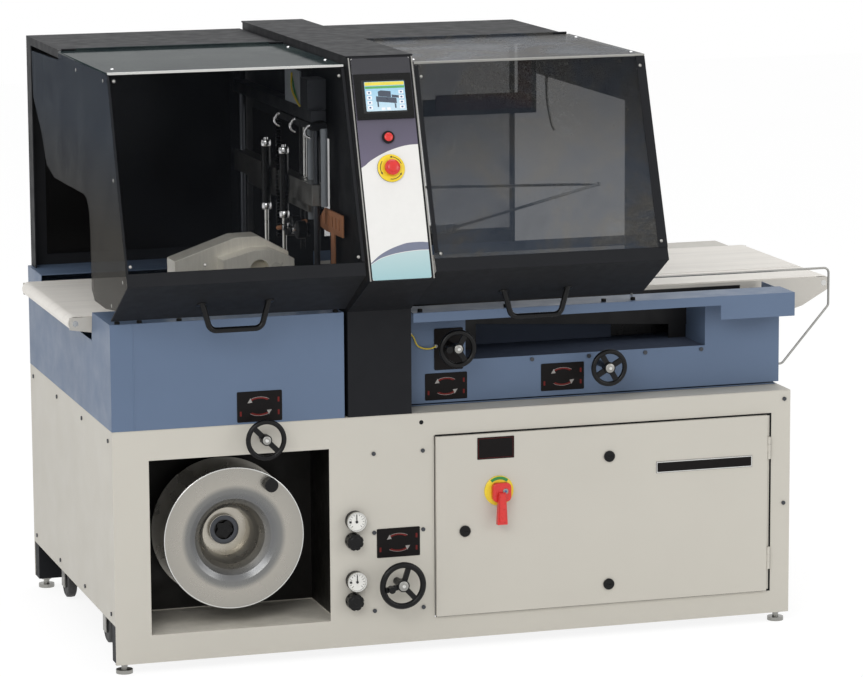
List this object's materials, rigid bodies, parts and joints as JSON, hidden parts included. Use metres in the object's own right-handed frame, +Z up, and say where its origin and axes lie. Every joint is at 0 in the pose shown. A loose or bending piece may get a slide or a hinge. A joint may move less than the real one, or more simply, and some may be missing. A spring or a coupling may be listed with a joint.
{
  "type": "side sealer",
  "caption": "Side-seal shrink film wrapper: base cabinet with scrap winder, belt conveyors, seal jaws, control console and hinged smoked hoods.",
  "frame": {"origin": "centre of the bounding box on the floor, under the machine", "axes": "+X along the product flow line from the outfeed nose to the infeed nose, as seen left to right from the operator's side; +Y from the operator's side to the back; +Z up from the floor"},
  "size_m": [2.134, 1.2756, 1.583],
  "materials": {
    "base_paint": "fine-textured warm off-white powder coat",
    "blue_paint": "smooth satin grey-blue paint",
    "black_paint": "fine-textured black powder coat",
    "smoked_pane": "smoked polycarbonate sheet",
    "white_belt": "white woven-backed conveyor belt",
    "steel": "brushed stainless or zinc-plated steel",
    "bright_steel": "ground and chromed bar",
    "spun_flange": "spun aluminium with circular brush marks",
    "black_plastic": "moulded black plastic",
    "red_plastic": "glossy red plastic",
    "grey_rubber": "black rubber",
    "panel_face": "white and violet-grey panel paint",
    "comb_metal": "orange-brown coating",
    "gauge_face": "gauge with white face"
  },
  "bodies": {
    "frame": {"base_frame": "black_paint", "base_front_panel": "base_paint", "base_panels": "base_paint", "winder_bay": "black_paint", "levelling_feet": "steel", "caster_mounts": "steel", "panel_screws": "steel", "gauges": "gauge_face", "left_housing_front": "blue_paint", "left_housing_panels": "blue_paint", "left_conveyor_bed": "steel", "left_belt": "white_belt", "right_frame_body": "blue_paint", "right_rail": "blue_paint", "right_conveyor_bed": "steel", "right_belt": "white_belt", "guide_bail": "bright_steel", "tower_shell": "black_paint", "console_panel": "panel_face", "hmi_bezel": "black_plastic", "rear_caps": "black_paint", "rear_windows": "smoked_pane", "seal_head_cover": "steel", "seal_frame": "bright_steel", "film_comb": "comb_metal"},
    "door": {"electrical_door": "base_paint"},
    "disconnect": {"disconnect_lever": "red_plastic"},
    "latch_left": {"door_latch_1": "steel"},
    "latch_top": {"door_latch_2": "steel"},
    "latch_bottom": {"door_latch_3": "steel"},
    "winder": {"winder_shaft": "steel", "winder_front_flange": "spun_flange", "winder_rear_flange": "spun_flange", "winder_knob": "black_plastic"},
    "left_nose": {"left_nose_roller": "steel"},
    "left_drive": {"left_drive_roller": "steel"},
    "right_nose": {"right_nose_roller": "steel"},
    "right_drive": {"right_drive_roller": "steel"},
    "start_button": {"push_button": "red_plastic"},
    "emergency_stop": {"estop_mushroom": "red_plastic"},
    "seal_height": {"seal_height_wheel": "black_plastic"},
    "scrap_tension": {"tension_wheel": "black_plastic"},
    "former_height": {"former_height_wheel": "black_plastic"},
    "guide_width": {"guide_width_wheel": "black_plastic"},
    "regulator_upper": {"regulator_knob_upper": "black_plastic"},
    "regulator_lower": {"regulator_knob_lower": "black_plastic"},
    "left_hood": {"left_hood_panes": "smoked_pane", "left_hood_skirt": "black_paint", "left_hood_handle": "black_plastic"},
    "right_hood": {"right_hood_panes": "smoked_pane", "right_hood_skirt": "black_paint", "right_hood_handle": "black_plastic"},
    "jaw": {"upper_jaw": "steel"},
    "former": {"film_former": "bright_steel"},
    "left_front_fork": {"caster_fork_front": "steel"},
    "left_rear_fork": {"caster_fork_rear": "steel"},
    "left_front_wheel": {"caster_wheel_left_front": "grey_rubber"},
    "left_rear_wheel": {"caster_wheel_left_rear": "grey_rubber"},
    "right_front_wheel": {"caster_wheel_right_front": "grey_rubber"},
    "right_rear_wheel": {"caster_wheel_right_rear": "grey_rubber"}
  },
  "joints": [
    {"name": "door_hinge", "type": "hinge", "parent": "frame", "child": "door", "pos_m": [0.795, -0.43017, 0.3335], "axis": [0, 0, 1], "range_deg": [0, 110]},
    {"name": "disconnect_turn", "type": "hinge", "parent": "door", "child": "disconnect", "pos_m": [0.028, -0.45417, 0.421], "axis": [0, 1, 0], "range_deg": [0, 90]},
    {"name": "latch_left_turn", "type": "hinge", "parent": "door", "child": "latch_left", "pos_m": [-0.066, -0.43217, 0.318], "axis": [0, 1, 0], "range_deg": [0, 90]},
    {"name": "latch_top_turn", "type": "hinge", "parent": "door", "child": "latch_top", "pos_m": [0.337, -0.43217, 0.493], "axis": [0, 1, 0], "range_deg": [0, 90]},
    {"name": "latch_bottom_turn", "type": "hinge", "parent": "door", "child": "latch_bottom", "pos_m": [0.336, -0.43217, 0.145], "axis": [0, 1, 0], "range_deg": [0, 90]},
    {"name": "winder_spin", "type": "hinge", "parent": "frame", "child": "winder", "pos_m": [-0.68, -0.27417, 0.333], "axis": [0, 1, 0], "continuous": true},
    {"name": "left_nose_spin", "type": "hinge", "parent": "frame", "child": "left_nose", "pos_m": [-1.048, 0.11583, 0.887], "axis": [0, 1, 0], "continuous": true},
    {"name": "left_drive_spin", "type": "hinge", "parent": "frame", "child": "left_drive", "pos_m": [-0.469, 0.11583, 0.876], "axis": [0, 1, 0], "continuous": true},
    {"name": "right_nose_spin", "type": "hinge", "parent": "frame", "child": "right_nose", "pos_m": [1.048, 0.11583, 0.887], "axis": [0, 1, 0], "continuous": true},
    {"name": "right_drive_spin", "type": "hinge", "parent": "frame", "child": "right_drive", "pos_m": [-0.365, 0.11583, 0.876], "axis": [0, 1, 0], "continuous": true},
    {"name": "start_button_press", "type": "slide", "parent": "frame", "child": "start_button", "axis": [0, 0.9447, -0.328], "range_m": [0, 0.004], "stiffness_N_per_m": 400, "springref_m": -0.002},
    {"name": "emergency_stop_press", "type": "slide", "parent": "frame", "child": "emergency_stop", "axis": [0, 0.9447, -0.328], "range_m": [0, 0.005]},
    {"name": "seal_height_turn", "type": "hinge", "parent": "frame", "child": "seal_height", "pos_m": [-0.251, -0.48117, 0.195], "axis": [0, 1, 0], "range_deg": [-720, 720]},
    {"name": "scrap_tension_turn", "type": "hinge", "parent": "frame", "child": "scrap_tension", "pos_m": [-0.612, -0.46917, 0.604], "axis": [0, 1, 0], "range_deg": [-720, 720]},
    {"name": "former_height_turn", "type": "hinge", "parent": "frame", "child": "former_height", "pos_m": [-0.08, -0.42417, 0.805], "axis": [0, 1, 0], "range_deg": [-1080, 1080]},
    {"name": "guide_width_turn", "type": "hinge", "parent": "frame", "child": "guide_width", "pos_m": [0.34, -0.42417, 0.73], "axis": [0, 1, 0], "range_deg": [-1080, 1080]},
    {"name": "regulator_upper_turn", "type": "hinge", "parent": "frame", "child": "regulator_upper", "pos_m": [-0.371, -0.44117, 0.313], "axis": [0, 1, 0], "range_deg": [-540, 540]},
    {"name": "regulator_lower_turn", "type": "hinge", "parent": "frame", "child": "regulator_lower", "pos_m": [-0.371, -0.44117, 0.152], "axis": [0, 1, 0], "range_deg": [-540, 540]},
    {"name": "left_hood_hinge", "type": "hinge", "parent": "frame", "child": "left_hood", "pos_m": [-0.696, 0.16233, 1.5652], "axis": [-1, 0, 0], "range_deg": [0, 75]},
    {"name": "right_hood_hinge", "type": "hinge", "parent": "frame", "child": "right_hood", "pos_m": [0.114, 0.16233, 1.5652], "axis": [-1, 0, 0], "range_deg": [0, 75]},
    {"name": "jaw_slide", "type": "slide", "parent": "frame", "child": "jaw", "axis": [0, 0, 1], "range_m": [-0.25, 0]},
    {"name": "former_slide", "type": "slide", "parent": "frame", "child": "former", "axis": [0, 0, 1], "range_m": [-0.06, 0.06]},
    {"name": "left_front_swivel", "type": "hinge", "parent": "frame", "child": "left_front_fork", "pos_m": [-0.945, -0.11417, 0.1], "axis": [0, 0, 1], "continuous": true},
    {"name": "left_rear_swivel", "type": "hinge", "parent": "frame", "child": "left_rear_fork", "pos_m": [-0.945, 0.42583, 0.1], "axis": [0, 0, 1], "continuous": true},
    {"name": "left_front_roll", "type": "hinge", "parent": "left_front_fork", "child": "left_front_wheel", "pos_m": [-0.945, -0.08417, 0.048], "axis": [1, 0, 0], "continuous": true},
    {"name": "left_rear_roll", "type": "hinge", "parent": "left_rear_fork", "child": "left_rear_wheel", "pos_m": [-0.945, 0.45583, 0.048], "axis": [1, 0, 0], "continuous": true},
    {"name": "right_front_roll", "type": "hinge", "parent": "frame", "child": "right_front_wheel", "pos_m": [0.796, -0.11417, 0.048], "axis": [1, 0, 0], "continuous": true},
    {"name": "right_rear_roll", "type": "hinge", "parent": "frame", "child": "right_rear_wheel", "pos_m": [0.796, 0.42583, 0.048], "axis": [1, 0, 0], "continuous": true}
  ],
  "couplings": [
    {"joint": "former_slide", "follows": "former_height_turn", "m_per_rad": 0.00318}
  ]
}
